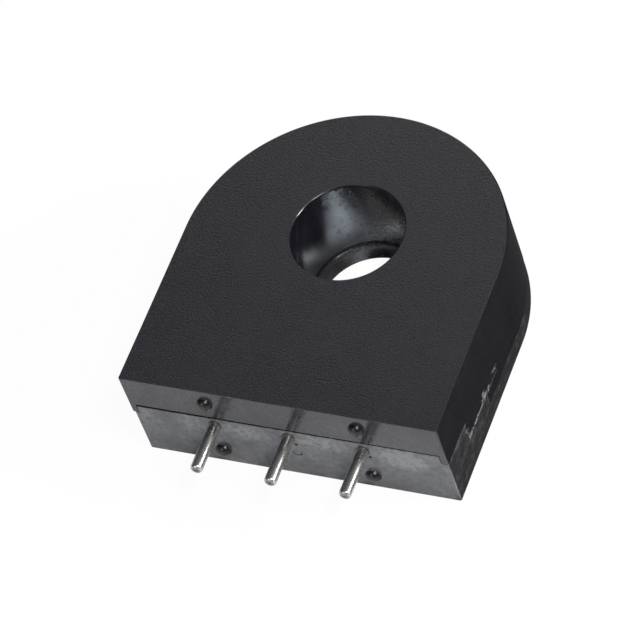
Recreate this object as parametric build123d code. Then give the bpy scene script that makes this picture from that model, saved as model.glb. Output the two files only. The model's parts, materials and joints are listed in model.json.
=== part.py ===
"""Board-mounted current transformer, one solid per physical piece.

Frame: the body lies on its rear face. The origin is on the bore axis at the
rear face, +Z runs along the bore to the front face, -Y points to the pins and
+X to the right when the front face is looked at with the pins down.
Units are millimetres.
"""
import os
from math import cos, radians, sin

from build123d import *

os.makedirs("parts", exist_ok=True)

# Case outline
body_width = 21.7
half_width = body_width / 2
bore_to_pin_face = 13.6
arc_centre_to_pin_face = 12.2
body_thickness = 7.6
corner_radius = 0.12
edge_radius = 0.2
case_wall = 0.9
pin_face_y = -bore_to_pin_face
arc_centre_y = arc_centre_to_pin_face - bore_to_pin_face
top_y = arc_centre_y + half_width

# Bore
bore_to_side = 7.11
bore_radius = half_width - bore_to_side
tube_wall = 0.76
tube_outer = bore_radius + tube_wall
ring_lip = 0.18
ring_radius = bore_radius - ring_lip
ring_step = 0.15

# Parting between front shell and rear cover
plate_thickness = 1.46
cover_inset = 0.08
cover_shift = 0.07
pin_seam_depth = 2.74
pin_seam_z = body_thickness - pin_seam_depth
seam_gap = 0.1
side_gap = 0.05
pin_wall = 1.2
strip_width = 0.45
low_ear_length = 3.2
high_ear_depth = 3.62
high_ear_z = body_thickness - high_ear_depth
mid_ear_length = 6.6
mid_ear_depth = 5.07
mid_ear_z = body_thickness - mid_ear_depth
plug_height = 0.5
plug_clearance = 0.05
plug_top = plate_thickness + plug_height

# Pins
pin_pitch = 5.08
pin_diameter = 0.8
pin_radius = pin_diameter / 2
pin_length = 3.5
pin_tail = 1.3
pin_tip_round = 0.15
shank_width = 0.9
shank_depth = 0.1
pin_below_seam = 0.86
pin_z = pin_seam_z - pin_below_seam

# Standoff feet
foot_pitch = 10.34
foot_radius = 0.52
foot_height = 0.4
foot_round = 0.25
front_foot_depth = 1.28
front_foot_z = body_thickness - front_foot_depth
rear_foot_z = 1.29

# Core and winding, all round the bore axis
cushion_thickness = 0.35
tube_clearance = 0.1
winding_wall = 0.45
winding_round = 0.3
winding_inner = tube_outer + tube_clearance
winding_clearance = 0.25
winding_outer = min(top_y, half_width) - case_wall - winding_clearance
winding_low = plug_top + cushion_thickness
shell_inside_z = body_thickness - case_wall
winding_high = shell_inside_z - cushion_thickness
lead_gap_angle = 30
tray_wall = 0.3
tray_inner = winding_inner + winding_wall
tray_outer = winding_outer - winding_wall
tray_low = winding_low + winding_wall
tray_high = winding_high - winding_wall
core_pad_thickness = 0.2
core_inner = tray_inner + tray_wall
core_outer = tray_outer - tray_wall
core_low = tray_low + tray_wall + core_pad_thickness
core_high = tray_high - tray_wall

# Leads from the winding to the outer pins
lead_radius = 0.14
lead_stub = 0.6
sleeve_radius = 0.34
sleeve_length = 2.0
solder_radius = 0.78
solder_length = 0.9
solder_round = 0.2


def outline(inset, pin_side_inset, corner, shift=0.0):
    """Flat-bottomed round-topped case outline, moved inward from the nominal one."""
    half = half_width - inset
    low = pin_face_y + pin_side_inset
    with BuildSketch() as sketch:
        with BuildLine():
            Polyline((-half, arc_centre_y), (-half, low), (half, low), (half, arc_centre_y))
            RadiusArc((half, arc_centre_y), (-half, arc_centre_y), -half)
        make_face()
        if corner > 0:
            low_corners = sketch.vertices().sort_by(Axis.Y)[:2]
            fillet(low_corners, corner)
    return Pos(shift, 0, 0) * sketch.sketch


def slab(face, low, high):
    """A flat face at Z zero, extruded from one height to another."""
    return Pos(0, 0, low) * extrude(face, high - low)


def block(x_low, x_high, y_low, y_high, z_low, z_high):
    """A box between six planes."""
    size = (x_high - x_low, y_high - y_low, z_high - z_low)
    centre = ((x_low + x_high) / 2, (y_low + y_high) / 2, (z_low + z_high) / 2)
    return Pos(*centre) * Box(*size)


def rod(radius, low, high):
    """A cylinder on the bore axis between two heights."""
    return Pos(0, 0, (low + high) / 2) * Cylinder(radius, high - low)


def ring(inner, outer, low, high):
    """A plain ring on the bore axis."""
    return rod(outer, low, high) - rod(inner, low, high)


def pin_rod(x, z, radius, y_low, y_high):
    """A cylinder parallel to the pins."""
    turn = Rot(90, 0, 0)
    return Pos(x, (y_low + y_high) / 2, z) * turn * Cylinder(radius, y_high - y_low)


def foot(x, z):
    """A round standoff foot with a domed end, rising from the pin face."""
    root = pin_face_y + foot_height
    solid = pin_rod(x, z, foot_radius, pin_face_y - foot_height, root)
    end = solid.edges().sort_by(Axis.Y)[0]
    return fillet(end, foot_round)


def wire(points, radius):
    """A round wire through points, with ball joints at the bends."""
    solid = None
    for start, end in zip(points, points[1:]):
        along = end - start
        piece = Plane(origin=start, z_dir=along) * extrude(Circle(radius), along.length)
        solid = piece if solid is None else solid + piece
    for point in points[1:-1]:
        solid = solid + Pos(*point) * Sphere(radius)
    return solid


def single(shape):
    """The one solid a boolean result holds."""
    solids = shape.solids()
    assert len(solids) == 1, len(solids)
    return solids[0]


def save(name, shape, shade):
    """Write one piece to its own file with its colour."""
    solid = single(shape)
    solid.label = name
    solid.color = Color(*shade)
    export_step(solid, f"parts/{name}.step")


# Front shell: a tub with the bore tube, open to the rear
shell = slab(outline(0, 0, corner_radius), plate_thickness, body_thickness)
front_edges = [
    edge
    for edge in shell.edges().group_by(Axis.Z)[-1]
    if edge.center().Y > pin_face_y + corner_radius
]
shell = fillet(front_edges, edge_radius)
inside = slab(outline(case_wall, pin_wall, 0), plate_thickness, shell_inside_z)
inside = inside - rod(tube_outer, plate_thickness, shell_inside_z)
shell = shell - inside
shell = shell - rod(tube_outer, plate_thickness, plate_thickness + ring_step)
shell = shell - rod(bore_radius, 0, body_thickness)
rim = [
    edge
    for edge in shell.edges().filter_by(GeomType.CIRCLE)
    if abs(edge.radius - bore_radius) < 0.01
]
shell = fillet(rim, edge_radius)

# Room in the shell for the pin wall and the side ears of the cover
strip_inside = half_width - strip_width
pin_side = block(
    -strip_inside, strip_inside,
    pin_face_y - 1, pin_face_y + pin_wall + side_gap,
    0, pin_seam_z,
)
shell = shell - pin_side
shell = shell - block(
    -half_width - 1, half_width + 1,
    pin_face_y - 1, pin_face_y + low_ear_length + side_gap,
    0, high_ear_z + side_gap,
)
shell = shell - block(
    -half_width - 1, half_width + 1,
    pin_face_y - 1, pin_face_y + mid_ear_length + side_gap,
    0, mid_ear_z + side_gap,
)
for side in (-1, 1):
    shell = shell + foot(side * foot_pitch / 2, front_foot_z) - inside
front_shell = shell

# Rear cover: plate with the bore ring, pin wall, side ears and a locating plug
plate = outline(cover_inset, 0, corner_radius, cover_shift)
cover = slab(plate, 0, plate_thickness)
rear_edges = [
    edge
    for edge in cover.edges().group_by(Axis.Z)[0]
    if edge.center().Y > pin_face_y + corner_radius
]
cover = fillet(rear_edges, edge_radius)
ear_outside = slab(plate, plate_thickness, high_ear_z)
ear_reach = half_width + cover_shift
ear_inside = block(
    case_wall - half_width, half_width - case_wall,
    pin_face_y, pin_face_y + mid_ear_length + 1,
    0, high_ear_z + 1,
)
high_ears = block(
    -ear_reach, ear_reach,
    pin_face_y, pin_face_y + low_ear_length,
    plate_thickness, high_ear_z,
)
mid_ears = block(
    -ear_reach, ear_reach,
    pin_face_y, pin_face_y + mid_ear_length,
    plate_thickness, mid_ear_z,
)
ears = (ear_outside & (high_ears + mid_ears)) - ear_inside
low_wall = ear_outside & block(
    -ear_reach, ear_reach,
    pin_face_y, pin_face_y + pin_wall,
    plate_thickness, high_ear_z,
)
high_wall = block(
    side_gap - strip_inside, strip_inside - side_gap,
    pin_face_y, pin_face_y + pin_wall,
    high_ear_z, pin_seam_z - seam_gap,
)
cover = cover + ears + low_wall + high_wall
plug_face = outline(case_wall + plug_clearance, case_wall, 0)
plug = slab(plug_face, plate_thickness, plug_top)
plug = plug - rod(tube_outer + plug_clearance, plate_thickness, plug_top)
cover = cover + plug
cover = cover - rod(ring_radius, 0, body_thickness)
for side in (-1, 1):
    cover = cover + foot(side * foot_pitch / 2, rear_foot_z)

# Pins, moulded into the pin wall, each with a square shank inside the wall
pins = []
tail_y = pin_face_y + pin_wall + pin_tail
shank_y = pin_face_y + shank_depth
for column in (-1, 0, 1):
    pin_x = column * pin_pitch
    pin = pin_rod(pin_x, pin_z, pin_radius, pin_face_y - pin_length, shank_y)
    tip = pin.edges().sort_by(Axis.Y)[0]
    shank = block(
        pin_x - shank_width / 2, pin_x + shank_width / 2,
        shank_y, tail_y,
        pin_z - shank_width / 2, pin_z + shank_width / 2,
    )
    pin = fillet(tip, pin_tip_round) + shank
    cover = cover - pin
    pins.append(pin)
rear_cover = cover

# Ring core in its tray, with a soft pad under it and a flat lid
core = ring(core_inner, core_outer, core_low, core_high)
core = fillet(core.edges().filter_by(GeomType.CIRCLE), pin_tip_round)
core_pad = ring(core_inner, core_outer, core_low - core_pad_thickness, core_low)
tray = ring(tray_inner, tray_outer, tray_low, core_high)
tray = tray - ring(core_inner, core_outer, tray_low + tray_wall, core_high)
core_lid = ring(tray_inner, tray_outer, core_high, tray_high)

# Secondary winding as one C-shaped layer round the tray
winding = ring(winding_inner, winding_outer, winding_low, winding_high)
winding = fillet(winding.edges().filter_by(GeomType.CIRCLE), winding_round)
winding = winding - ring(tray_inner, tray_outer, tray_low, tray_high)
reach = winding_outer * 2
half_gap = lead_gap_angle / 2
wedge_x = reach * sin(radians(half_gap))
wedge_y = -reach * cos(radians(half_gap))
with BuildSketch() as wedge:
    Polygon((0, 0), (wedge_x, wedge_y), (-wedge_x, wedge_y), align=None)
winding = winding - slab(wedge.sketch, winding_low - 1, winding_high + 1)

# Cushion rings in front of and behind the winding
front_cushion = ring(winding_inner, winding_outer - winding_round, winding_high, shell_inside_z)
rear_cushion = ring(winding_inner, winding_outer - winding_round, plug_top, winding_low)

# Leads, sleeves and solder joints, one of each on either side
lead_z = (winding_low + winding_high) / 2
lead_ring = winding_outer - winding_wall / 2
solder_low = tail_y - solder_length + solder_round
solder_high = tail_y + solder_round
leads = {}
sleeves = {}
solders = {}
for side in (-1, 1):
    angle = radians(-90 + side * half_gap)
    start = Vector(lead_ring * cos(angle), lead_ring * sin(angle), lead_z)
    tangent = Vector(side * sin(angle), -side * cos(angle), 0)
    bend = start + tangent * lead_stub
    knee = Vector(side * lead_stub, bend.Y - lead_stub, lead_z)
    turn_in = Vector(side * (pin_pitch - solder_radius - lead_stub), tail_y + 1, pin_z)
    joint = Vector(side * (pin_pitch - shank_width / 2 - lead_radius), tail_y - solder_length / 2, pin_z)
    lead = wire([start, bend, knee, turn_in, joint], lead_radius)
    span = turn_in - knee
    first = knee + span.normalized() * (span.length - sleeve_length) / 2
    last = first + span.normalized() * sleeve_length
    sleeve = wire([first, last], sleeve_radius) - lead
    solder = pin_rod(side * pin_pitch, pin_z, solder_radius, solder_low, solder_high)
    solder = fillet(solder.edges().filter_by(GeomType.CIRCLE), solder_round)
    solder = solder - pins[side + 1] - lead
    leads[side] = lead
    sleeves[side] = sleeve
    solders[side] = solder

# Colours
black = (0.035, 0.035, 0.04)
tin = (0.62, 0.62, 0.64)
copper = (0.62, 0.3, 0.14)

save("front_shell", front_shell, black)
save("rear_cover", rear_cover, black)
save("pin_left", pins[0], tin)
save("pin_middle", pins[1], tin)
save("pin_right", pins[2], tin)
save("core", core, (0.25, 0.25, 0.27))
save("core_pad", core_pad, (0.8, 0.8, 0.78))
save("core_tray", tray, (0.85, 0.85, 0.8))
save("core_lid", core_lid, (0.85, 0.85, 0.8))
save("secondary_winding", winding, copper)
save("front_cushion", front_cushion, (0.3, 0.3, 0.3))
save("rear_cushion", rear_cushion, (0.3, 0.3, 0.3))
save("start_lead", leads[-1], copper)
save("finish_lead", leads[1], copper)
save("start_sleeve", sleeves[-1], (0.9, 0.9, 0.85))
save("finish_sleeve", sleeves[1], (0.9, 0.9, 0.85))
save("start_solder", solders[-1], tin)
save("finish_solder", solders[1], tin)
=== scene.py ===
# %% [markdown]
# # A small current transformer for a circuit board
# The object is a black moulded case, about 22 mm wide and 8 mm thick, with a round bore
# that a conductor goes through. Three tinned pins stand out of its flat side. The solid
# model is loaded first, as a fixed frame in metres. Its bore axis is the Z axis, the floor
# is at height zero, and the pins point along -Y.

# %% Load the solid model
import json
from math import atan2, hypot, pi, radians

import bmesh
import bpy
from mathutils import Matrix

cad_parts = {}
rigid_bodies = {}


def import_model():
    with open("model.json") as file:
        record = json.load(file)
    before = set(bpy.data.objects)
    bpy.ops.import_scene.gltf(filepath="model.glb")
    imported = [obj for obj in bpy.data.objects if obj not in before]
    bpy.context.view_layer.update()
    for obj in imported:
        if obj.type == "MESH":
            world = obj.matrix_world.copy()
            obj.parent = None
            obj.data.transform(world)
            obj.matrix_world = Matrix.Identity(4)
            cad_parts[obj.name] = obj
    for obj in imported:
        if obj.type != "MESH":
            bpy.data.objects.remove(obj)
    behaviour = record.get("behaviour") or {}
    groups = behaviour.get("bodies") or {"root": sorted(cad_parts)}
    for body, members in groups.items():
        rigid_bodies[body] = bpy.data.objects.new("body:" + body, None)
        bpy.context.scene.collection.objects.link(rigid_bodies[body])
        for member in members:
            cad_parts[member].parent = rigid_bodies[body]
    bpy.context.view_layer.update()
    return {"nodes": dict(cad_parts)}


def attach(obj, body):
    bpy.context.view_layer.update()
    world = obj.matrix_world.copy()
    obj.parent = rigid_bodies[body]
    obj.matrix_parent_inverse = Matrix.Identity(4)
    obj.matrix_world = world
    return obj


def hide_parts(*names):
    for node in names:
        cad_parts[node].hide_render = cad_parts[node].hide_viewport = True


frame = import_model()
print("nodes:", len(frame["nodes"]))

# %% [markdown]
# ## The camera
# The photograph was taken from above, from the pin side and a little to the right, with a
# long lens, so the part's edges stay almost parallel. The camera is turned a little about
# its own axis too. A 254 mm lens on a 36 mm sensor, 0.29 m away, shows the part at the size
# that it has in the photograph.

# %% Camera
scene = bpy.context.scene
camera_data = bpy.data.cameras.new("camera")
camera = bpy.data.objects.new("camera", camera_data)
scene.collection.objects.link(camera)
camera.location = (0.10778, -0.14840, 0.22828)
camera.rotation_euler = (radians(36.8142), radians(13.2700), radians(20.0865))
camera_data.lens = 254.2
camera_data.sensor_width = 36.0
camera_data.clip_start = 0.01
camera_data.clip_end = 20.0
scene.camera = camera
print("camera distance in mm:", round(camera.location.length * 1000, 1))

# %% [markdown]
# ## Sizes
# All lengths are in metres, written as millimetres times `MM`. They are the sizes of the
# solid model, so each new piece fits the place of the node that it stands for. Only a few
# fine ones, such as the rounding of edges and the width of seams, are set a little apart
# from it, so that the thin lines look as they do on the real part. Each step of an ear is
# given by its length and its height. `TINY` is the slack when two places are compared, and
# `ROUND_SLACK` is the one for places on a circle.

# %% Sizes of the case
MM = 0.001
TINY = 0.002 * MM
ROUND_SLACK = 0.01 * MM
HALF_WIDTH = 10.85 * MM
PIN_FACE = -13.6 * MM
ARC_CENTRE = -1.4 * MM
THICKNESS = 7.6 * MM
PARTING = 1.46 * MM
WALL = 0.9 * MM
EDGE_ROUND = 0.12 * MM
CORNER = 0.12 * MM
BORE = 3.74 * MM
TUBE = 4.5 * MM
TUBE_ROUND = 0.07 * MM
RING = 3.56 * MM
RING_STEP = 0.04 * MM
RING_ROUND = 0.1 * MM
BORE_SIDES = 192
TUBE_SIDES = 128
print("body:", round(2 * HALF_WIDTH / MM, 2), "mm wide,", round(THICKNESS / MM, 2), "mm thick")

# %% Sizes of the cover and the pins
SEAM = 4.86 * MM
SEAM_GAP = 0.16 * MM
SIDE_GAP = 0.05 * MM
PIN_WALL = 1.2 * MM
STRIP = 0.45 * MM
COVER_INSET = 0.08 * MM
COVER_SHIFT = 0.07 * MM
SHORT_EAR = (3.2 * MM, 3.98 * MM)
LONG_EAR = (6.6 * MM, 2.53 * MM)
PLUG_TOP = 1.96 * MM
PIN_PITCH = 5.08 * MM
PIN_HEIGHT = 4.0 * MM
PIN_RADIUS = 0.4 * MM
PIN_TIP = -17.1 * MM
PIN_TAIL = -11.1 * MM
WIRE_SIDES = 64
print("pins:", round((PIN_FACE - PIN_TIP) / MM, 2), "mm long,",
      round(PIN_PITCH / MM, 2), "mm apart")

# %% [markdown]
# ## Small helpers for modelling by hand
# Operators act on whatever is selected, so each helper first deselects everything. In edit
# mode, vertices and edges are picked by where they are. These few helpers keep the steps
# that follow short.

# %% Selecting and editing
def select_only(piece):
    """Deselect everything, then select one object and make it active."""
    for other in bpy.context.view_layer.objects:
        other.select_set(False)
    piece.select_set(True)
    bpy.context.view_layer.objects.active = piece


def edit(piece):
    """Start edit mode on one object with nothing selected in it."""
    select_only(piece)
    bpy.ops.object.mode_set(mode="EDIT")
    bpy.ops.mesh.select_all(action="DESELECT")


def done():
    """Leave edit mode."""
    bpy.ops.object.mode_set(mode="OBJECT")


def middle_of(item):
    """The middle of a vertex or an edge."""
    if isinstance(item, bmesh.types.BMVert):
        return item.co
    return (item.verts[0].co + item.verts[1].co) / 2


def pick(piece, kind, test):
    """In edit mode, select the vertices or the edges that pass a test."""
    bpy.ops.mesh.select_mode(type=kind)
    bpy.ops.mesh.select_all(action="DESELECT")
    shape = bmesh.from_edit_mesh(piece.data)
    items = {"VERT": shape.verts, "EDGE": shape.edges}[kind]
    chosen = [item for item in items if test(middle_of(item), item)]
    for item in chosen:
        item.select_set(True)
    bmesh.update_edit_mesh(piece.data)
    return len(chosen)


print("selecting helpers ready")

# %% Rounding edges
def round_picked(piece, test, size, segments):
    """In edit mode, round the edges that pass a test, and say how many there are."""
    found = pick(piece, "EDGE", test)
    bpy.ops.mesh.bevel(offset=size, segments=segments, affect="EDGES")
    return found


def round_edges(piece, test, size, segments):
    """Round the edges of an object that pass a test, and say how many there are."""
    edit(piece)
    found = round_picked(piece, test, size, segments)
    done()
    return found


def is_level(edge):
    """Whether both ends of an edge are at the same height."""
    return abs(edge.verts[0].co.z - edge.verts[1].co.z) < TINY


def on_circle(at, radius, height):
    """Whether a point lies on a circle round the bore's axis."""
    return abs(at.z - height) < TINY and abs(hypot(at.x, at.y) - radius) < ROUND_SLACK


print("rounding helpers ready")

# %% Applying, cutting and joining
def settle(piece):
    """Move an object's place into its mesh, so that it sits at the origin."""
    select_only(piece)
    bpy.ops.object.transform_apply(location=True, rotation=True, scale=True)


def apply(piece, modifier):
    """Apply one modifier."""
    select_only(piece)
    bpy.ops.object.modifier_apply(modifier=modifier.name)


def combine(piece, tool, how):
    """Cut a tool out of a piece, or join it on, and throw the tool away."""
    modifier = piece.modifiers.new(how.lower(), "BOOLEAN")
    modifier.operation = how
    modifier.solver = "EXACT"
    modifier.object = tool
    apply(piece, modifier)
    bpy.data.objects.remove(tool, do_unlink=True)


def cut(piece, tool):
    """Cut a tool out of a piece."""
    combine(piece, tool, "DIFFERENCE")


def join(piece, tool):
    """Join a tool on to a piece."""
    combine(piece, tool, "UNION")


print("cutting helpers ready")

# %% Blocks and rods
def new_block(x_low, x_high, y_low, y_high, z_low, z_high):
    """A box between six planes."""
    select_only(camera)
    centre = ((x_low + x_high) / 2, (y_low + y_high) / 2, (z_low + z_high) / 2)
    bpy.ops.mesh.primitive_cube_add(size=1, location=centre)
    block = bpy.context.active_object
    block.scale = (x_high - x_low, y_high - y_low, z_high - z_low)
    settle(block)
    return block


def new_rod(radius, start, end, sides):
    """A cylinder between two points, along Y or along Z."""
    select_only(camera)
    centre = [(a + b) / 2 for a, b in zip(start, end)]
    length = sum(abs(b - a) for a, b in zip(start, end))
    turn = (radians(90), 0, 0) if abs(end[1] - start[1]) > TINY else (0, 0, 0)
    bpy.ops.mesh.primitive_cylinder_add(
        vertices=sides, radius=radius, depth=length, location=centre, rotation=turn)
    rod = bpy.context.active_object
    settle(rod)
    return rod


def upright(radius, low, high, sides):
    """A cylinder on the bore's axis, between two heights."""
    return new_rod(radius, (0, 0, low), (0, 0, high), sides)


def drill(radius, x, z, depth, sides):
    """A cylinder that enters the pin face from outside, down to a depth."""
    return new_rod(radius, (x, PIN_FACE - MM, z), (x, PIN_FACE + depth, z), sides)


def copy_to(piece, x, z):
    """A copy of an object, with its own mesh, moved along the pin face."""
    copy = piece.copy()
    copy.data = piece.data.copy()
    scene.collection.objects.link(copy)
    copy.location = (x, 0, z)
    settle(copy)
    return copy


print("blocks and rods ready")

# %% [markdown]
# ## The outline of the case
# Seen from the front, both halves of the case have the same outline: a flat side for the
# pins, two straight sides and a half-round top. It starts as a circle. The lower half is
# deleted, its two ends are extruded down to the pin face, and the loop is filled and
# extruded to its thickness. The two upright corners at the pin face are then rounded.

# %% Outline block
ARC_SIDES = 256


def new_case_block(name, inset, pin_inset, z_low, z_high, shift=0.0, corner=0.0):
    """A slab with the case's outline, moved inwards from the nominal one."""
    half = HALF_WIDTH - inset
    low = PIN_FACE + pin_inset
    select_only(camera)
    bpy.ops.mesh.primitive_circle_add(
        vertices=ARC_SIDES, radius=half, location=(shift, ARC_CENTRE, z_low))
    slab = bpy.context.active_object
    slab.name = name
    settle(slab)
    edit(slab)
    pick(slab, "VERT", lambda at, item: at.y < ARC_CENTRE - TINY)
    bpy.ops.mesh.delete(type="VERT")
    pick(slab, "VERT", lambda at, item: at.y < ARC_CENTRE + TINY)
    bpy.ops.mesh.extrude_vertices_move(TRANSFORM_OT_translate={"value": (0, low - ARC_CENTRE, 0)})
    bpy.ops.mesh.select_all(action="SELECT")
    bpy.ops.mesh.edge_face_add()
    bpy.ops.mesh.extrude_region_move(TRANSFORM_OT_translate={"value": (0, 0, z_high - z_low)})
    bpy.ops.mesh.select_all(action="SELECT")
    bpy.ops.mesh.normals_make_consistent(inside=False)
    if corner > 0:
        round_picked(slab, lambda at, item: at.y < low + TINY and abs(at.x - shift) > half - TINY
                     and not is_level(item), size=corner, segments=4)
    done()
    return slab


def round_face_edge(slab, height):
    """Round the edge of the outline at one height, except along the pin face."""
    return round_edges(slab, lambda at, item: abs(at.z - height) < TINY and is_level(item)
                       and at.y > PIN_FACE + CORNER + TINY, size=EDGE_ROUND, segments=6)


shell = new_case_block("front_shell_body", 0, 0, PARTING, THICKNESS, corner=CORNER)
print("edges rounded on the front:", round_face_edge(shell, THICKNESS))

# %% [markdown]
# ## The front shell
# The front half is a tub. The inside is cut out, a tube is joined on round the bore, and
# the bore is cut through it. The rim of the bore and the tube's far end are rounded, which
# gives the thin bright line at the rim. Room is then cut for the pin wall and the stepped
# ears of the rear cover.

# %% Hollow the shell and add the bore
TUBE_END = PARTING + RING_STEP
cut(shell, new_case_block("inside", WALL, PIN_WALL, PARTING - MM, THICKNESS - WALL))
join(shell, upright(TUBE, TUBE_END, THICKNESS - WALL / 2, TUBE_SIDES))
cut(shell, upright(BORE, 0, THICKNESS + MM, BORE_SIDES))
round_edges(shell, lambda at, item: on_circle(at, BORE, THICKNESS), size=EDGE_ROUND, segments=6)
round_edges(shell, lambda at, item: on_circle(at, BORE, TUBE_END), size=TUBE_ROUND, segments=4)
print("shell faces:", len(shell.data.polygons))

# %% Room for the cover's pin wall and ears
STRIP_INSIDE = HALF_WIDTH - STRIP
FAR_SIDE = HALF_WIDTH + MM
BEFORE = PIN_FACE - MM
cut(shell, new_block(-STRIP_INSIDE, STRIP_INSIDE, BEFORE, PIN_FACE + PIN_WALL + SIDE_GAP, 0, SEAM))
for reach, height in (SHORT_EAR, LONG_EAR):
    cut(shell, new_block(-FAR_SIDE, FAR_SIDE, BEFORE, PIN_FACE + reach + SIDE_GAP,
                         0, height + SIDE_GAP))
print("shell faces:", len(shell.data.polygons))

# %% [markdown]
# ## Standoff feet
# Four low round feet keep the case off the board. One foot is modelled: a short cylinder
# whose free end is rounded. It is copied to the other places, and each copy is joined to
# the half of the case that it belongs to.

# %% Feet
FOOT_RADIUS = 0.52 * MM
FOOT_HEIGHT = 0.4 * MM
FOOT_ROUND = 0.38 * MM
FOOT_SIDE = 5.17 * MM
SHELL_FOOT = 6.32 * MM
COVER_FOOT = 1.29 * MM
FOOT_SIDES = 48

foot = new_rod(FOOT_RADIUS, (0, PIN_FACE - FOOT_HEIGHT, 0), (0, PIN_FACE + FOOT_HEIGHT, 0),
               FOOT_SIDES)
round_edges(foot, lambda at, item: abs(at.y - PIN_FACE + FOOT_HEIGHT) < TINY,
            size=FOOT_ROUND, segments=8)
for side in (-1, 1):
    join(shell, copy_to(foot, side * FOOT_SIDE, SHELL_FOOT))
print("foot faces:", len(foot.data.polygons))

# %% [markdown]
# ## The rear cover
# The rear half is a plate with the ring that ends the bore. The pin wall stands up from its
# flat side, and on either side an ear steps up into the shell. The ears are cut from a slab
# with the same outline as the plate, so their faces line up. The pin wall's top edge isn't
# quite level, which makes the seam above it taper. A plug on the plate locates it inside
# the shell.

# %% Plate and ears
ABOVE = 9 * MM
PAST_TOP = 12 * MM
INSIDE = HALF_WIDTH - WALL
cover = new_case_block("rear_cover_body", COVER_INSET, 0, 0, SHORT_EAR[1],
                       shift=COVER_SHIFT, corner=CORNER)
round_face_edge(cover, 0)
cut(cover, new_block(-FAR_SIDE, FAR_SIDE, PIN_FACE + LONG_EAR[0], PAST_TOP, PARTING, ABOVE))
cut(cover, new_block(-FAR_SIDE, FAR_SIDE, PIN_FACE + SHORT_EAR[0], 0, LONG_EAR[1], ABOVE))
cut(cover, new_block(-INSIDE, INSIDE, PIN_FACE + PIN_WALL, 0, PARTING, ABOVE))
print("cover faces:", len(cover.data.polygons))

# %% Pin wall
WALL_HALF = STRIP_INSIDE - SIDE_GAP
WALL_ROOT = SHORT_EAR[1] - 0.5 * MM
WALL_TOP = SEAM - SEAM_GAP
SEAM_TAPER = ((-1, -0.07 * MM), (1, 0.05 * MM))
pin_wall = new_block(-WALL_HALF, WALL_HALF, PIN_FACE, PIN_FACE + PIN_WALL, WALL_ROOT, WALL_TOP)
edit(pin_wall)
for side, lift in SEAM_TAPER:
    pick(pin_wall, "VERT", lambda at, item: at.z > WALL_TOP - TINY and at.x * side > 0)
    bpy.ops.transform.translate(value=(0, 0, lift))
done()
join(cover, pin_wall)
print("cover faces:", len(cover.data.polygons))

# %% Plug, ring and feet
PLUG_ROOT = PARTING - 0.3 * MM
plug = new_case_block("plug", WALL + SIDE_GAP, PIN_WALL, PLUG_ROOT, PLUG_TOP)
cut(plug, upright(TUBE + SIDE_GAP, PARTING, PLUG_TOP + MM, TUBE_SIDES))
join(cover, plug)
cut(cover, upright(RING, -MM, PLUG_TOP + MM, BORE_SIDES))
round_edges(cover, lambda at, item: on_circle(at, RING, PARTING), size=RING_ROUND, segments=4)
for side in (-1, 1):
    join(cover, copy_to(foot, side * FOOT_SIDE, COVER_FOOT))
bpy.data.objects.remove(foot, do_unlink=True)
print("cover faces:", len(cover.data.polygons))

# %% [markdown]
# ## The pins
# The pins are drawn wire, plated with tin. The sheared end is slightly rounded, with a
# small dent that the cutter left. The shank inside the wall is square, which keeps a pin
# from turning. One pin is modelled and copied, each copy with its own mesh. The wall then
# gets a hole for each pin, a little wider than the wire where the wire comes out.

# %% One pin
SHANK = 0.45 * MM
MOUTH = 0.1 * MM
TIP_ROUND = 0.2 * MM
WIRE_END = PIN_FACE + 0.3 * MM
DENT_RADIUS = 0.12 * MM
DENT_X = 0.03 * MM
DENT_Z = PIN_HEIGHT + 0.02 * MM
DENT_END = PIN_TIP + 0.06 * MM
DENT_SIDES = 16


def shank_block(x, y_end):
    """The square stretch of a pin, from the mouth of its hole inwards."""
    return new_block(x - SHANK, x + SHANK, PIN_FACE + MOUTH, y_end,
                     PIN_HEIGHT - SHANK, PIN_HEIGHT + SHANK)


pin_middle = new_rod(PIN_RADIUS, (0, PIN_TIP, PIN_HEIGHT), (0, WIRE_END, PIN_HEIGHT), WIRE_SIDES)
round_edges(pin_middle, lambda at, item: abs(at.y - PIN_TIP) < TINY, size=TIP_ROUND, segments=6)
cut(pin_middle, new_rod(DENT_RADIUS, (DENT_X, PIN_TIP - MM, DENT_Z), (DENT_X, DENT_END, DENT_Z),
                        DENT_SIDES))
join(pin_middle, shank_block(0, PIN_TAIL))
pin_middle.name = "pin_middle_wire"
print("pin faces:", len(pin_middle.data.polygons))

# %% Copies and holes
CLEARANCE = 0.06 * MM
SHANK_HOLE_END = PIN_FACE + 2 * MM
pins = {"pin_middle": pin_middle}
for name, side in (("pin_left", -1), ("pin_right", 1)):
    pins[name] = copy_to(pin_middle, side * PIN_PITCH, 0)
    pins[name].name = name + "_wire"
for side in (-1, 0, 1):
    cut(cover, drill(PIN_RADIUS + CLEARANCE, side * PIN_PITCH, PIN_HEIGHT, MOUTH, WIRE_SIDES))
    cut(cover, shank_block(side * PIN_PITCH, SHANK_HOLE_END))
print("pins:", sorted(pins))

# %% [markdown]
# ## Small marks of the mould
# The cover has a few marks from its mould: a shallow pit beside two of the pins, half a
# ring where an ejector pin pushed, and a small notch at the left end of the seam. Each is
# cut with a short rod. The ejector's rod is hollowed and halved first.

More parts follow.
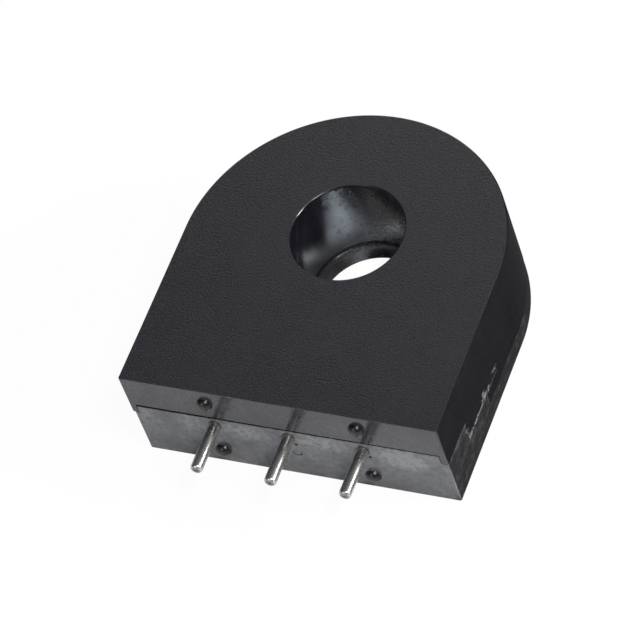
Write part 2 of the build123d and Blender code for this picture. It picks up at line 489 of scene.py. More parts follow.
# %% Pits, ejector ring and notch
PITS = ((0.36 * MM, 3.35 * MM), (5.43 * MM, 3.35 * MM))
PIT_RADIUS = 0.11 * MM
PIT_DEPTH = 0.12 * MM
PIT_SIDES = 24
EJECTOR_X = 0.24 * MM
EJECTOR_Z = 2.44 * MM
EJECTOR_RADII = (0.24 * MM, 0.34 * MM)
EJECTOR_TOP = 2.5 * MM
EJECTOR_DEPTH = 0.05 * MM
EJECTOR_SIDES = 48
NOTCH_X = -10.33 * MM
NOTCH_Z = 4.80 * MM
NOTCH_RADIUS = 0.16 * MM
NOTCH_DEPTH = 0.25 * MM
NOTCH_SIDES = 12

for x, z in PITS:
    cut(cover, drill(PIT_RADIUS, x, z, PIT_DEPTH, PIT_SIDES))
ejector = drill(EJECTOR_RADII[1], EJECTOR_X, EJECTOR_Z, EJECTOR_DEPTH, EJECTOR_SIDES)
cut(ejector, new_rod(EJECTOR_RADII[0], (EJECTOR_X, PIN_FACE - 2 * MM, EJECTOR_Z),
                     (EJECTOR_X, PIN_FACE + MM, EJECTOR_Z), EJECTOR_SIDES))
cut(ejector, new_block(-MM, MM, PIN_FACE - 2 * MM, PIN_FACE + MM, EJECTOR_TOP, 4 * MM))
cut(cover, ejector)
cut(cover, drill(NOTCH_RADIUS, NOTCH_X, NOTCH_Z, NOTCH_DEPTH, NOTCH_SIDES))
print("cover faces:", len(cover.data.polygons))

# %% [markdown]
# ## Small radii on the case's edges
# No moulded edge is perfectly sharp. A narrow bevel on the edges that are still sharp
# catches the light along the seams, and weighted normals keep the flat faces flat. The
# pins' tips are round already, so the pins get only the smooth shading.

# %% Finish the case halves and pins
SMALL_RADIUS = 0.03 * MM
MERGE_DISTANCE = 0.0005 * MM
FLAT = radians(0.1)
SHARP = radians(40)


def finish_edges(piece, width):
    """Bevel the sharp edges a little and shade the piece smoothly."""
    edit(piece)
    bpy.ops.mesh.select_all(action="SELECT")
    bpy.ops.mesh.remove_doubles(threshold=MERGE_DISTANCE)
    bpy.ops.mesh.dissolve_limited(angle_limit=FLAT)
    done()
    if width > 0:
        bevel = piece.modifiers.new("small radius", "BEVEL")
        bevel.width = width
        bevel.segments = 2
        bevel.limit_method = "ANGLE"
        bevel.angle_limit = SHARP
        bevel.miter_outer = "MITER_ARC"
        apply(piece, bevel)
    select_only(piece)
    bpy.ops.object.shade_smooth_by_angle(angle=SHARP)
    weights = piece.modifiers.new("weighted normals", "WEIGHTED_NORMAL")
    weights.keep_sharp = True
    apply(piece, weights)


finish_edges(shell, SMALL_RADIUS)
finish_edges(cover, SMALL_RADIUS)
for wire in pins.values():
    finish_edges(wire, 0)
print("triangles:", [sum(len(face.vertices) - 2 for face in half.data.polygons)
                     for half in (shell, cover)])

# %% [markdown]
# ## Materials
# Every finish is built from nodes that read the object's own coordinates, so a pattern
# stays in its place from any side. Small helpers add one node each, which lets a material
# be read line by line, from patterns to masks and from masks to colour.

# %% Node helpers
def link(tree, source, target):
    """Join an output socket to an input socket."""
    tree.links.new(source, target)


def fill_socket(tree, value, socket):
    """Give an input socket a value, which may be a number, a colour or another socket."""
    if isinstance(value, bpy.types.NodeSocket):
        link(tree, value, socket)
    else:
        socket.default_value = value


def maths(tree, operation, first, second=None, clamp=False):
    """A Math node whose inputs are sockets or numbers."""
    node = tree.nodes.new("ShaderNodeMath")
    node.operation = operation
    node.use_clamp = clamp
    fill_socket(tree, first, node.inputs[0])
    if second is not None:
        fill_socket(tree, second, node.inputs[1])
    return node.outputs[0]


def times(tree, first, *others):
    """The product of several sockets or numbers."""
    for other in others:
        first = maths(tree, "MULTIPLY", first, other)
    return first


def square_sum(tree, first, second):
    """The sum of two squares."""
    return maths(tree, "ADD", maths(tree, "POWER", first, 2.0), maths(tree, "POWER", second, 2.0))


def length(tree, first, second):
    """The length of a step with two parts at right angles."""
    return maths(tree, "SQRT", square_sum(tree, first, second))


def ramp(tree, value, low, high, to_low=0.0, to_high=1.0):
    """Map a value from one range to another, clamped."""
    node = tree.nodes.new("ShaderNodeMapRange")
    node.inputs["From Min"].default_value = low
    node.inputs["From Max"].default_value = high
    node.inputs["To Min"].default_value = to_low
    node.inputs["To Max"].default_value = to_high
    link(tree, value, node.inputs["Value"])
    return node.outputs["Result"]


def between(tree, value, low, high, soft):
    """One between two limits, falling to nought over a soft distance."""
    up = ramp(tree, value, low - soft, low)
    down = ramp(tree, value, high, high + soft, 1.0, 0.0)
    return maths(tree, "MULTIPLY", up, down)


print("number helpers ready")

# %% Patterns, colours and places
# A noise texture spends most of its time between these two values.
NOISE_RANGE = (0.3, 0.7)


def noise(tree, vector, scale, detail, roughness):
    """A noise texture on given coordinates, with its scale in waves per metre."""
    node = tree.nodes.new("ShaderNodeTexNoise")
    node.inputs["Scale"].default_value = scale
    node.inputs["Detail"].default_value = detail
    node.inputs["Roughness"].default_value = roughness
    link(tree, vector, node.inputs["Vector"])
    return node.outputs["Fac"]


def stretched(tree, vector, scale):
    """Coordinates with a scale of their own along each axis."""
    node = tree.nodes.new("ShaderNodeMapping")
    node.inputs["Scale"].default_value = scale
    link(tree, vector, node.inputs["Vector"])
    return node.outputs["Vector"]


def blend_colour(tree, factor, first, second):
    """Mix two colours, given as sockets or as numbers."""
    node = tree.nodes.new("ShaderNodeMix")
    node.data_type = "RGBA"
    # The colour sockets share their names with those of other types, hence the numbers.
    fill_socket(tree, factor, node.inputs[0])
    fill_socket(tree, first, node.inputs[6])
    fill_socket(tree, second, node.inputs[7])
    return node.outputs[2]


def grey(level):
    """A neutral colour."""
    return (level, level, level, 1)


def object_place(tree):
    """The object's own coordinates."""
    return tree.nodes.new("ShaderNodeTexCoord").outputs["Object"]


def position_parts(tree):
    """The object's own coordinates, together and as X, Y and Z apart."""
    place = object_place(tree)
    parts = tree.nodes.new("ShaderNodeSeparateXYZ")
    link(tree, place, parts.inputs["Vector"])
    return place, parts.outputs["X"], parts.outputs["Y"], parts.outputs["Z"]


print("pattern helpers ready")

# %% Materials and bumps
def new_material(name):
    """An empty material, its node tree and its shader."""
    material = bpy.data.materials.new(name)
    material.use_nodes = True
    tree = material.node_tree
    return material, tree, tree.nodes["Principled BSDF"]


def add_bump(tree, shader, height, strength, distance):
    """A Bump node into the shader's normal."""
    node = tree.nodes.new("ShaderNodeBump")
    node.inputs["Strength"].default_value = strength
    node.inputs["Distance"].default_value = distance
    link(tree, height, node.inputs["Height"])
    link(tree, node.outputs["Normal"], shader.inputs["Normal"])


print("material helpers ready")

# %% [markdown]
# ## The moulded surface
# The case is black plastic from a steel mould. The front face has a fine even grain, and
# the sides and the pin face are smoother, with faint scuffs. One node group makes the fine
# grain, the slow mottling and the scuffs, and each finish places it with its own values.

# %% Moulded plastic group
# Scale, detail and roughness of each noise. The grain's scale comes in through a socket.
GRAIN_DETAIL = 3.0
GRAIN_BREAKUP = 0.65
MOTTLE = (350.0, 4.0, 0.6)
SCUFFS = (2000.0, 4.0, 0.7)
SCUFF_STRETCH = (1.0, 0.6, 1.5)
SCUFF_LIMITS = (0.48, 0.66)


def make_moulded_group():
    """Grain height, mottling and scuffs of a moulded plastic surface."""
    group = bpy.data.node_groups.new("moulded surface", "ShaderNodeTree")
    face = group.interface
    face.new_socket(name="Grain Scale", in_out="INPUT", socket_type="NodeSocketFloat")
    for output in ("Height", "Mottle", "Scuffs"):
        face.new_socket(name=output, in_out="OUTPUT", socket_type="NodeSocketFloat")
    entry = group.nodes.new("NodeGroupInput")
    leave = group.nodes.new("NodeGroupOutput")
    place = object_place(group)
    grain = group.nodes.new("ShaderNodeTexNoise")
    grain.inputs["Detail"].default_value = GRAIN_DETAIL
    grain.inputs["Roughness"].default_value = GRAIN_BREAKUP
    link(group, place, grain.inputs["Vector"])
    link(group, entry.outputs["Grain Scale"], grain.inputs["Scale"])
    link(group, grain.outputs["Fac"], leave.inputs["Height"])
    link(group, ramp(group, noise(group, place, *MOTTLE), *NOISE_RANGE), leave.inputs["Mottle"])
    marks = noise(group, stretched(group, place, SCUFF_STRETCH), *SCUFFS)
    link(group, ramp(group, marks, *SCUFF_LIMITS), leave.inputs["Scuffs"])
    return group


MOULDED = make_moulded_group()
print("group sockets:", len(MOULDED.interface.items_tree))

# %% [markdown]
# ## Zones of the case
# The finish changes over the case, so masks say where each part of it holds: the grained
# front face, the pin face with its feet, the bore and the right side. They are worked out
# from the sizes, so they follow the edges.

# %% Zones
# Where each mask starts and where it is full.
FRONT_EDGE = (THICKNESS - 0.02 * MM, THICKNESS - 0.005 * MM)
FOOT_EDGE = (PIN_FACE - 0.03 * MM, PIN_FACE - 0.06 * MM)
BORE_EDGE = (BORE + 0.06 * MM, BORE + 0.02 * MM)
RIGHT_EDGE = (HALF_WIDTH - 0.2 * MM, HALF_WIDTH - 0.1 * MM)
# The painted light on the right of the bore: where it starts across, where it fades towards the
# front rim, and how much of it is left at the rim.
BORE_LIGHT_ACROSS = (-0.6 * MM, 2.2 * MM)
BORE_LIGHT_DOWN = (THICKNESS - 1.2 * MM, THICKNESS - 2.2 * MM)
BORE_LIGHT_AT_RIM = 0.15
# The pin face lies between two limits, and its mask is soft on both sides of them.
PIN_FACE_LIMITS = (PIN_FACE - 0.02 * MM, PIN_FACE + 0.03 * MM)
PIN_FACE_SOFT = 0.02 * MM


def find_zones(tree, x_at, y_at, z_at):
    """Masks for the front face, the pin face, the feet, the bore and the right side."""
    from_axis = length(tree, x_at, y_at)
    return {
        "front": ramp(tree, z_at, *FRONT_EDGE),
        "pin face": between(tree, y_at, *PIN_FACE_LIMITS, PIN_FACE_SOFT),
        "feet": ramp(tree, y_at, *FOOT_EDGE),
        "bore": ramp(tree, from_axis, *BORE_EDGE),
        "right": ramp(tree, x_at, *RIGHT_EDGE),
    }


def bore_painted_light(tree, bore, x_at, z_at):
    """Painted light on the right half of the bore and on its ring, fainter near the front rim."""
    across = ramp(tree, x_at, *BORE_LIGHT_ACROSS)
    down = ramp(tree, z_at, *BORE_LIGHT_DOWN, BORE_LIGHT_AT_RIM, 1.0)
    return times(tree, bore, across, down)


print("zones ready")

# %% [markdown]
# ## Haze, painted light and scuffs
# A pale haze lies in clouds on the pin face, partly real haze and partly painted reflected light.
# It is thickest in a few patches round the pins, which are painted highlights, and it thins
# towards the rear as painted shade. On the right side, handling has scuffed the plastic, and pale
# lines are painted along the step of the ear and down the upright corner as highlights. The places
# of the marks are listed in millimetres, and noise tears their edges, so that none looks drawn
# with a ruler.

# %% Haze and painted light on the pin face
# The middle of each painted highlight patch in X and Z, its half width and half height, and its
# amount.
HIGHLIGHT_PATCHES = ((7.7, 3.6, 2.0, 1.1, 0.7), (2.6, 3.9, 2.2, 0.9, 0.35), (-3.0, 3.7, 2.0, 0.9, 0.35))
FINE_HAZE = (2200.0, 4.0, 0.7)
# How the noises and the height weaken or strengthen the clouds and the patches.
CLOUD_BY_MOTTLE = (0.35, 1.0)
CLOUD_BY_FINE = (0.4, 1.3)
# The fade with height is painted shade, darker towards the rear.
SHADE_HEIGHTS = (1.0 * MM, 4.0 * MM)
SHADE_BY_HEIGHT = (0.6, 1.0)
PATCH_NOISE = (0.35, 0.65)
PATCH_BY_FINE = (0.3, 1.4)


def pin_face_haze_and_light(tree, place, x_at, z_at, mottle):
    """Clouds of haze, partly painted light, thinned towards the rear as painted shade, with
    painted highlight patches on them.
    """
    fine = noise(tree, place, *FINE_HAZE)
    haze_and_light = times(tree, ramp(tree, mottle, 0.0, 1.0, *CLOUD_BY_MOTTLE),
                  ramp(tree, fine, *NOISE_RANGE, *CLOUD_BY_FINE),
                  ramp(tree, z_at, *SHADE_HEIGHTS, *SHADE_BY_HEIGHT))
    for x, z, wide, high, amount in HIGHLIGHT_PATCHES:
        away_x = times(tree, maths(tree, "SUBTRACT", x_at, x * MM), 1 / (wide * MM))
        away_z = times(tree, maths(tree, "SUBTRACT", z_at, z * MM), 1 / (high * MM))
        highlight_patch = ramp(tree, square_sum(tree, away_x, away_z), 1.0, 0.0, 0.0, amount)
        highlight_patch = times(tree, highlight_patch, ramp(tree, fine, *PATCH_NOISE, *PATCH_BY_FINE))
        haze_and_light = maths(tree, "ADD", haze_and_light, highlight_patch)
    return haze_and_light


print("haze patches:", len(HIGHLIGHT_PATCHES))

# %% Scuffs and painted highlights on the right side
# The limits of each painted highlight in Y and in Z, and its amount.
EAR_HIGHLIGHTS = ((-10.25, -7.60, 2.45, 2.58, 1.0), (-10.47, -10.38, 2.45, 3.30, 0.7),
            (-10.42, -10.20, 2.35, 2.60, 1.0), (-7.70, -6.70, 2.50, 2.78, 1.0),
            (-7.60, -7.30, 2.60, 3.15, 0.8), (-5.60, -5.20, 2.80, 3.00, 0.5),
            (-7.00, -5.20, 2.42, 2.50, 0.2), (-13.40, -10.50, 3.86, 3.94, 0.25))
TEARS = (2400.0, 3.0, 0.7)
TEAR_Y = 0.35 * MM
TEAR_Z = 0.14 * MM
SOFT_Y = 0.12 * MM
SOFT_Z = 0.10 * MM
SCUFF_SHARE = 0.85
SIDE_MOTTLE = 0.15
SIDE_MOTTLE_FROM = 0.2
HIGHLIGHT_BREAKS = (0.38, 0.62)
# Where the painted highlight down the corner lies, how broken it is and where it fades.
CORNER_ACROSS = (HALF_WIDTH - 0.10 * MM, HALF_WIDTH - 0.06 * MM)
CORNER_ALONG = (PIN_FACE + 0.10 * MM, PIN_FACE + 0.06 * MM)
CORNER_BREAKS = (0.3, 0.6)
CORNER_LEAST = 0.35
CORNER_FADE = (4.6 * MM, 1.0 * MM)


def side_marks(tree, scuffs, mottle):
    """Scuffs on a slowly changing ground."""
    return maths(tree, "ADD", times(tree, scuffs, SCUFF_SHARE),
                 ramp(tree, mottle, SIDE_MOTTLE_FROM, 1.0, 0.0, SIDE_MOTTLE))


def painted_ear_highlights(tree, place, y_at, z_at, ragged):
    """Painted highlights along the step of the ear, with torn edges."""
    tear = noise(tree, place, *TEARS)
    y_torn = maths(tree, "ADD", y_at, ramp(tree, tear, *NOISE_RANGE, -TEAR_Y, TEAR_Y))
    z_torn = maths(tree, "ADD", z_at, ramp(tree, tear, *NOISE_RANGE, TEAR_Z, -TEAR_Z))
    ear_light = 0.0
    for y_low, y_high, z_low, z_high, amount in EAR_HIGHLIGHTS:
        spot = times(tree, between(tree, y_torn, y_low * MM, y_high * MM, SOFT_Y),
                     between(tree, z_torn, z_low * MM, z_high * MM, SOFT_Z), amount)
        ear_light = maths(tree, "MAXIMUM", ear_light, spot)
    return times(tree, ear_light, ramp(tree, ragged, *HIGHLIGHT_BREAKS))


def painted_corner_highlight(tree, x_at, y_at, z_at, ragged):
    """A painted highlight down the right-hand upright corner, fading towards the front."""
    across = ramp(tree, x_at, *CORNER_ACROSS)
    along = ramp(tree, y_at, *CORNER_ALONG)
    broken = ramp(tree, ragged, *CORNER_BREAKS, CORNER_LEAST, 1.0)
    return times(tree, across, along, broken, ramp(tree, z_at, *CORNER_FADE))


print("worn places:", len(EAR_HIGHLIGHTS))

# %% [markdown]
# ## Black plastic
# The colour starts as two close blacks, mixed by mottling and fine specks. It then takes painted
# light on the right of the bore and its ring, the haze with its painted highlights and shade on
# the pin face, scuffs, painted highlights along the ear and the corner, and painted shade on the
# feet, one after another. The roughness sets the matt front face apart from the glossier sides,
# and flecks of the bore's wall are rubbed matt, all but its far left. The two halves come from two
# mouldings, and the cover is the paler one, so each half gets its own colours.

# %% Black case plastic
GRAIN_SCALE = 7500.0
SPECKS = (6500.0, 2.0, 0.7)
RAGGED = (5200.0, 3.0, 0.7)
FLECKS = (4200.0, 3.0, 0.6)
MOTTLE_SHARE = 0.3
SPECK_SHARE = 0.8
PLASTIC_IOR = 1.5
# Pale colour painted along the step of the ear as a highlight.
EAR_HIGHLIGHT_COLOUR = grey(0.36)
# Colour of the painted highlight down the upright corner.
CORNER_HIGHLIGHT_COLOUR = (0.22, 0.22, 0.23, 1)
# The feet are painted a darker black than their half of the case, as painted shade.
FOOT_SHADE_COLOUR = grey(0.002)
SIDE_ROUGH = 0.12
FRONT_ROUGH = 0.37
MOTTLE_ROUGH = 0.06
FOOT_ROUGH = 0.34
FLECK_ROUGH = 0.14
SIDE_GRAIN = 0.08
FLECK_HEIGHT = 0.8
FLECK_LIMITS = (0.48, 0.60)
RUBBED_FROM = (-3.2 * MM, -2.8 * MM)
GRAIN_DEPTH = 0.03 * MM


def make_case_plastic(name, colour, pale, haze_and_light_colour, side_haze, bore_light):
    """Black plastic, grained on the front, scuffed, with haze on the pin face, and with painted
    light, highlights and shade.
    """
    material, tree, shader = new_material(name)
    surface = tree.nodes.new("ShaderNodeGroup")
    surface.node_tree = MOULDED
    surface.inputs["Grain Scale"].default_value = GRAIN_SCALE
    mottle = surface.outputs["Mottle"]
    place, x_at, y_at, z_at = position_parts(tree)
    zones = find_zones(tree, x_at, y_at, z_at)

    specks = ramp(tree, noise(tree, place, *SPECKS), *NOISE_RANGE, 0.0, SPECK_SHARE)
    tone = maths(tree, "ADD", times(tree, mottle, MOTTLE_SHARE), specks)
    base = blend_colour(tree, tone, colour, pale)
    # Painted light on the right half of the bore and on its ring.
    base = blend_colour(tree, bore_painted_light(tree, zones["bore"], x_at, z_at), base, bore_light)
    # Haze on the pin face, partly painted light, with painted highlight patches round the pins and
    # painted shade towards the rear.
    haze_and_light = pin_face_haze_and_light(tree, place, x_at, z_at, mottle)
    base = blend_colour(tree, maths(tree, "MULTIPLY", haze_and_light, zones["pin face"], clamp=True),
                        base, haze_and_light_colour)
    marks = side_marks(tree, surface.outputs["Scuffs"], mottle)
    base = blend_colour(tree, maths(tree, "MULTIPLY", marks, zones["right"], clamp=True),
                        base, side_haze)
    ragged = noise(tree, place, *RAGGED)
    # Painted highlights along the step of the ear.
    ear_light = times(tree, painted_ear_highlights(tree, place, y_at, z_at, ragged), zones["right"])
    base = blend_colour(tree, ear_light, base, EAR_HIGHLIGHT_COLOUR)
    # A painted highlight down the upright corner.
    base = blend_colour(tree, painted_corner_highlight(tree, x_at, y_at, z_at, ragged), base, CORNER_HIGHLIGHT_COLOUR)
    # Painted shade: the feet are darker than the rest of the case.
    base = blend_colour(tree, zones["feet"], base, FOOT_SHADE_COLOUR)
    link(tree, base, shader.inputs["Base Color"])

    flecks = noise(tree, place, *FLECKS)
    rubbed = times(tree, zones["bore"], ramp(tree, x_at, *RUBBED_FROM))
    rough = ramp(tree, zones["front"], 0.0, 1.0, SIDE_ROUGH, FRONT_ROUGH)
    rough = maths(tree, "ADD", rough, times(tree, mottle, MOTTLE_ROUGH))
    rough = maths(tree, "MAXIMUM", rough, times(tree, zones["feet"], FOOT_ROUGH))
    matt = times(tree, rubbed, ramp(tree, flecks, *FLECK_LIMITS, 0.0, FLECK_ROUGH))
    link(tree, maths(tree, "ADD", rough, matt), shader.inputs["Roughness"])

    grain = times(tree, surface.outputs["Height"],
                  ramp(tree, zones["front"], 0.0, 1.0, SIDE_GRAIN, 1.0))
    height = maths(tree, "ADD", grain, times(tree, flecks, FLECK_HEIGHT, rubbed))
    add_bump(tree, shader, height, 1.0, GRAIN_DEPTH)
    shader.inputs["IOR"].default_value = PLASTIC_IOR
    return material


# The last colour of each half is the painted light in its bore.
shell_plastic = make_case_plastic(
    "black shell plastic", colour=(0.0030, 0.0028, 0.0050, 1), pale=(0.0130, 0.0122, 0.0168, 1),
    haze_and_light_colour=(0.048, 0.048, 0.054, 1), side_haze=grey(0.014), bore_light=(0.080, 0.078, 0.080, 1))
cover_plastic = make_case_plastic(
    "black cover plastic", colour=(0.014, 0.014, 0.016, 1), pale=(0.026, 0.026, 0.028, 1),
    haze_and_light_colour=(0.200, 0.204, 0.216, 1), side_haze=grey(0.066), bore_light=(0.120, 0.122, 0.128, 1))
print(shell_plastic.name, len(shell_plastic.node_tree.nodes), "nodes")

# %% [markdown]
# ## Tin on the pins
# Tin plate is a soft pale metal. Drawing the wire leaves faint lines along it, so the
# pattern is stretched along the pin, and handling leaves duller patches. The sheared end
# shows the darker metal under the plate.

# %% Tin plate
TIN_COLOUR = (0.62, 0.61, 0.58, 1)
DULL_SHARE = 0.82
SHEARED_COLOUR = (0.22, 0.21, 0.20, 1)
TIN_ROUGH = 0.25
DULL_ROUGH = 0.33
DRAWN_LINES = (9000.0, 3.0, 0.6)
ALONG_WIRE = (1.0, 0.06, 1.0)
DULL_PATCHES = (1500.0, 3.0, 0.6)
DULL_LIMITS = (0.4, 0.7)
TIP_EDGE = (PIN_TIP + 0.05 * MM, PIN_TIP + 0.01 * MM)
LINE_STRENGTH = 0.025
LINE_DEPTH = 0.01 * MM


def make_tin(name):
    """Pale plated metal with faint lines along the wire."""
    material, tree, shader = new_material(name)
    place, _, y_at, _ = position_parts(tree)
    lines = noise(tree, stretched(tree, place, ALONG_WIRE), *DRAWN_LINES)
    dull = ramp(tree, noise(tree, place, *DULL_PATCHES), *DULL_LIMITS)
    dull_colour = tuple(DULL_SHARE * part for part in TIN_COLOUR[:3]) + (1,)
    base = blend_colour(tree, dull, TIN_COLOUR, dull_colour)
    tip = ramp(tree, y_at, *TIP_EDGE)
    link(tree, blend_colour(tree, tip, base, SHEARED_COLOUR), shader.inputs["Base Color"])
    link(tree, ramp(tree, dull, 0.0, 1.0, TIN_ROUGH, DULL_ROUGH), shader.inputs["Roughness"])
    shader.inputs["Metallic"].default_value = 1.0
    add_bump(tree, shader, lines, LINE_STRENGTH, LINE_DEPTH)
    return material


tin = make_tin("tin plate")
print(tin.name)

# %% [markdown]
# ## The pieces inside
# The wound core is sealed in the case and isn't seen, but it is kept for anyone who opens
# the model. Its solids stay as they are and get their own finishes: enamelled copper with
# fine turns, dark alloy tape, pale nylon, foam and solder.

# %% Enamelled copper
RIDGES = 150.0
WIRE_PATCHES = (700.0, 3.0, 0.5)
DARK_COPPER = (0.42, 0.13, 0.05, 1)
PALE_COPPER = (0.62, 0.24, 0.09, 1)
ENAMEL_METALLIC = 0.8
RIDGE_ROUGH = (0.45, 0.25)
RIDGE_STRENGTH = 0.8
RIDGE_DEPTH = 0.05 * MM


def make_winding():
    """Copper wire laid side by side round the ring, as fine radial ridges."""
    material, tree, shader = new_material("enamelled copper wire")
    place, x_at, y_at, _ = position_parts(tree)
    angle = maths(tree, "ARCTAN2", y_at, x_at)
    ridge = maths(tree, "ABSOLUTE", maths(tree, "SINE", times(tree, angle, RIDGES)))
    patches = noise(tree, place, *WIRE_PATCHES)
    link(tree, blend_colour(tree, patches, DARK_COPPER, PALE_COPPER), shader.inputs["Base Color"])
    link(tree, ramp(tree, ridge, 0.0, 1.0, *RIDGE_ROUGH), shader.inputs["Roughness"])
    shader.inputs["Metallic"].default_value = ENAMEL_METALLIC
    add_bump(tree, shader, ridge, RIDGE_STRENGTH, RIDGE_DEPTH)
    return material


winding = make_winding()
print(winding.name)

# %% Other finishes inside
# Detail and roughness of the noise for the two tones and of the one for the bump, which
# is finer.
TONE_NOISE = (4.0, 0.6)
BUMP_NOISE = (3.0, 0.6)
BUMP_FINER = 6
BUMP_STRENGTH = 0.4
TONE_RANGE = (0.2, 0.8)
ROUGH_SPREAD = 0.06


def make_plain(name, colour, second, rough, metallic, scale, depth):
    """A simple finish with two tones, a fine bump and uneven roughness."""
    material, tree, shader = new_material(name)
    place = object_place(tree)
    patches = noise(tree, place, scale, *TONE_NOISE)
    link(tree, blend_colour(tree, patches, colour, second), shader.inputs["Base Color"])
    link(tree, ramp(tree, patches, *TONE_RANGE, rough - ROUGH_SPREAD, rough + ROUGH_SPREAD),
         shader.inputs["Roughness"])
    shader.inputs["Metallic"].default_value = metallic
    bumps = noise(tree, place, scale * BUMP_FINER, *BUMP_NOISE)
    add_bump(tree, shader, bumps, BUMP_STRENGTH, depth)
    return material


tape = make_plain("alloy tape", (0.16, 0.16, 0.18, 1), (0.26, 0.26, 0.28, 1),
                  rough=0.35, metallic=0.9, scale=1200.0, depth=0.01 * MM)
nylon = make_plain("pale nylon", (0.70, 0.68, 0.60, 1), (0.78, 0.76, 0.69, 1),
                   rough=0.5, metallic=0.0, scale=800.0, depth=0.01 * MM)
foam = make_plain("grey foam", (0.30, 0.30, 0.30, 1), (0.42, 0.42, 0.41, 1),
                  rough=0.9, metallic=0.0, scale=3000.0, depth=0.05 * MM)
sleeve = make_plain("sleeve", (0.78, 0.77, 0.70, 1), (0.84, 0.83, 0.77, 1),
                    rough=0.4, metallic=0.0, scale=900.0, depth=0.005 * MM)
solder = make_plain("solder", (0.62, 0.62, 0.64, 1), (0.70, 0.70, 0.72, 1),
                    rough=0.25, metallic=1.0, scale=1500.0, depth=0.02 * MM)
print("plain finishes:", [finish.name for finish in (tape, nylon, foam, sleeve, solder)])

# %% Dress the inner solids
FINISHES = {
    "secondary_winding": winding, "start_lead": winding, "finish_lead": winding,
    "core": tape, "core_tray": nylon, "core_lid": nylon,
    "core_pad": foam, "front_cushion": foam, "rear_cushion": foam,
    "start_sleeve": sleeve, "finish_sleeve": sleeve,
    "start_solder": solder, "finish_solder": solder,
}
for node, material in FINISHES.items():
    for slot in frame["nodes"][node].material_slots:
        slot.material = material
print("inner pieces dressed:", len(FINISHES))

# %% [markdown]
# ## Putting the new pieces in the frame
# Each new piece rides on the one body, stands for its solid node, which is hidden, and gets the
# one material that it takes its finish from.

# %% Riding, replacing and slots
def dress(piece, material):
    """Give a piece one material."""
    piece.data.materials.clear()
    piece.data.materials.append(material)


dress(shell, shell_plastic)
dress(cover, cover_plastic)
for wire in pins.values():
    dress(wire, tin)
standing_for = {"front_shell": shell, "rear_cover": cover, **pins}
for node, piece in standing_for.items():
    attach(piece, "root")
    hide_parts(node)
print("pieces placed:", len(standing_for))

# %% [markdown]
# ## The table
# The part lies on a white table, which keeps its shadow and is lightened for the camera so that
# the background is white. The glossy plastic mirrors the table, so what surrounds the part on it
# matters: for every ray but the camera's, painted shade darkens the table beside the right side of
# the part and at a few places inside the bore.

# %% Painted shade on the table
# The middle of each place of painted shade in X and Y, its outer and inner radius, all in
# millimetres, and its amount.
SHADED_PLACES = ((-2.7, 1.5, 1.5, 0.6, 0.7), (1.9, 2.2, 1.7, 0.9, 0.95), (0.2, 2.5, 1.2, 0.6, 0.8),
              (-0.8, 3.2, 1.0, 0.5, 0.9))
TABLE_SHADE_OUTLINE = (HALF_WIDTH - 0.6 * MM, HALF_WIDTH - 0.1 * MM)
TABLE_SHADE_ACROSS = (2 * MM, 6 * MM)
TABLE_SHADE_ALONG = (PIN_FACE - 0.4 * MM, PIN_FACE - 0.1 * MM)


def painted_table_shade(tree, x_at, y_at):
    """A mask of the shade painted on the table, as it shows in the part's gloss."""
    past_arc = maths(tree, "MAXIMUM", maths(tree, "SUBTRACT", y_at, ARC_CENTRE), 0.0)
    outline = length(tree, x_at, past_arc)
    table_shade = times(tree, ramp(tree, outline, *TABLE_SHADE_OUTLINE), ramp(tree, x_at, *TABLE_SHADE_ACROSS),
                 ramp(tree, y_at, *TABLE_SHADE_ALONG))
    for x, y, wide, narrow, amount in SHADED_PLACES:
        away = length(tree, maths(tree, "SUBTRACT", x_at, x * MM),
                      maths(tree, "SUBTRACT", y_at, y * MM))
        shaded_place = ramp(tree, away, wide * MM, narrow * MM, 0.0, amount)
        table_shade = maths(tree, "MAXIMUM", table_shade, shaded_place)
    return table_shade


print("dim places:", len(SHADED_PLACES))

# %% Floor
TABLE_SIZE = 4.0
TABLE_COLOUR = grey(0.9)
TABLE_ROUGH = 0.9
TABLE_SPECULAR = 0.0
TABLE_SHADE_COLOUR = grey(0.05)
# Colour of the painted shade on the table.
GLOW_STRENGTH = 1.0
CAMERA_GLOW = 0.95


def make_table(name):
    """White for the camera, with painted shade that every other ray sees."""
    material, tree, shader = new_material(name)
    shader.inputs["Roughness"].default_value = TABLE_ROUGH
    shader.inputs["Specular IOR Level"].default_value = TABLE_SPECULAR
    glow = tree.nodes.new("ShaderNodeEmission")
    glow.inputs["Strength"].default_value = GLOW_STRENGTH
    camera_ray = tree.nodes.new("ShaderNodeLightPath").outputs["Is Camera Ray"]
    _, x_at, y_at, _ = position_parts(tree)
    # Painted shade on the table, which every ray but the camera's sees.
    seen_in_gloss = blend_colour(tree, painted_table_shade(tree, x_at, y_at), TABLE_COLOUR, TABLE_SHADE_COLOUR)
    link(tree, blend_colour(tree, camera_ray, seen_in_gloss, TABLE_COLOUR),
         shader.inputs["Base Color"])
    mix = tree.nodes.new("ShaderNodeMixShader")
    link(tree, times(tree, camera_ray, CAMERA_GLOW), mix.inputs[0])
    link(tree, shader.outputs[0], mix.inputs[1])
    link(tree, glow.outputs[0], mix.inputs[2])
    link(tree, mix.outputs[0], tree.nodes["Material Output"].inputs["Surface"])
    return material


select_only(camera)
bpy.ops.mesh.primitive_plane_add(size=TABLE_SIZE, location=(0, 0, 0))
floor = bpy.context.active_object
floor.name = "floor"
dress(floor, make_table("white table"))
print("floor ready")

# %% [markdown]
# ## Lamps and world
# Two square lamps on the right light the part, a weak large one fills in from the pin side,
# and a faint one behind it lifts the back. Narrow spots light the table inside the bore,
# and the bore's glossy wall mirrors the streak of light that they make there. A dim bluish
# world softens the shadows.

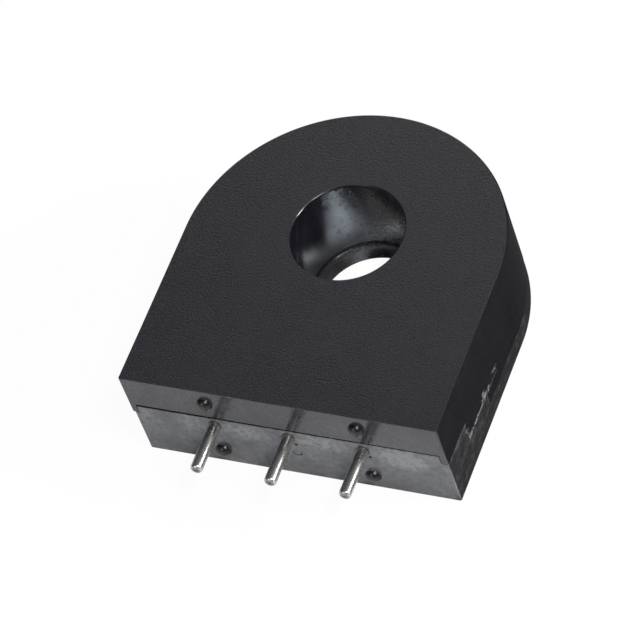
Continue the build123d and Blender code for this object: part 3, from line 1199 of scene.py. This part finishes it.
# %% Soft lamps
# The place of each lamp in metres, its size and its power.
LAMPS = {
    "key lamp": ((0.245, -0.10, 0.424), 0.10, 1.6),
    "right lamp": ((0.400, 0.072, 0.193), 0.10, 1.7),
    "fill lamp": ((-0.11, -0.38, 0.21), 0.20, 0.45),
    "back lamp": ((-0.09, 0.225, 0.18), 0.10, 0.14),
}


def add_light(name, kind, place, power):
    """A lamp of one kind at a place."""
    data = bpy.data.lights.new(name, kind)
    data.energy = power
    lamp = bpy.data.objects.new(name, data)
    scene.collection.objects.link(lamp)
    lamp.location = place
    return lamp


for name, (place, size, power) in LAMPS.items():
    lamp = add_light(name, "AREA", place, power)
    lamp.data.shape = "SQUARE"
    lamp.data.size = size
    lean = atan2(hypot(place[0], place[1]), place[2])
    lamp.rotation_euler = (lean, 0, atan2(place[1], place[0]) + pi / 2)
print("lamps:", list(LAMPS))

# %% Spots in the bore
# The place of each spot in millimetres, and its power.
BORE_SPOTS = ((-0.5, 0.8, 0.9), (-0.15, 0.3, 3.2), (0.4, -0.35, 5.6), (0.85, -1.0, 5.0),
              (1.3, -1.65, 3.2), (-1.5, 2.45, 0.35))
SPOT_HEIGHT = 0.07
SPOT_ANGLE = radians(0.85)
SPOT_SOURCE = 0.0005
SPOT_COLOUR = (0.80, 0.90, 1.0)

for number, (x, y, power) in enumerate(BORE_SPOTS):
    spot = add_light(f"bore spot {number}", "SPOT", (x * MM, y * MM, SPOT_HEIGHT), power)
    spot.data.color = SPOT_COLOUR
    spot.data.spot_size = SPOT_ANGLE
    spot.data.spot_blend = 1.0
    spot.data.shadow_soft_size = SPOT_SOURCE
print("spots:", len(BORE_SPOTS))

# %% World
WORLD_COLOUR = (0.85, 0.93, 1.0, 1)
WORLD_STRENGTH = 0.12
world = bpy.data.worlds.new("studio")
scene.world = world
world.use_nodes = True
background = world.node_tree.nodes["Background"]
background.inputs["Color"].default_value = WORLD_COLOUR
background.inputs["Strength"].default_value = WORLD_STRENGTH
scene.view_settings.view_transform = "Standard"
print("world:", world.name)
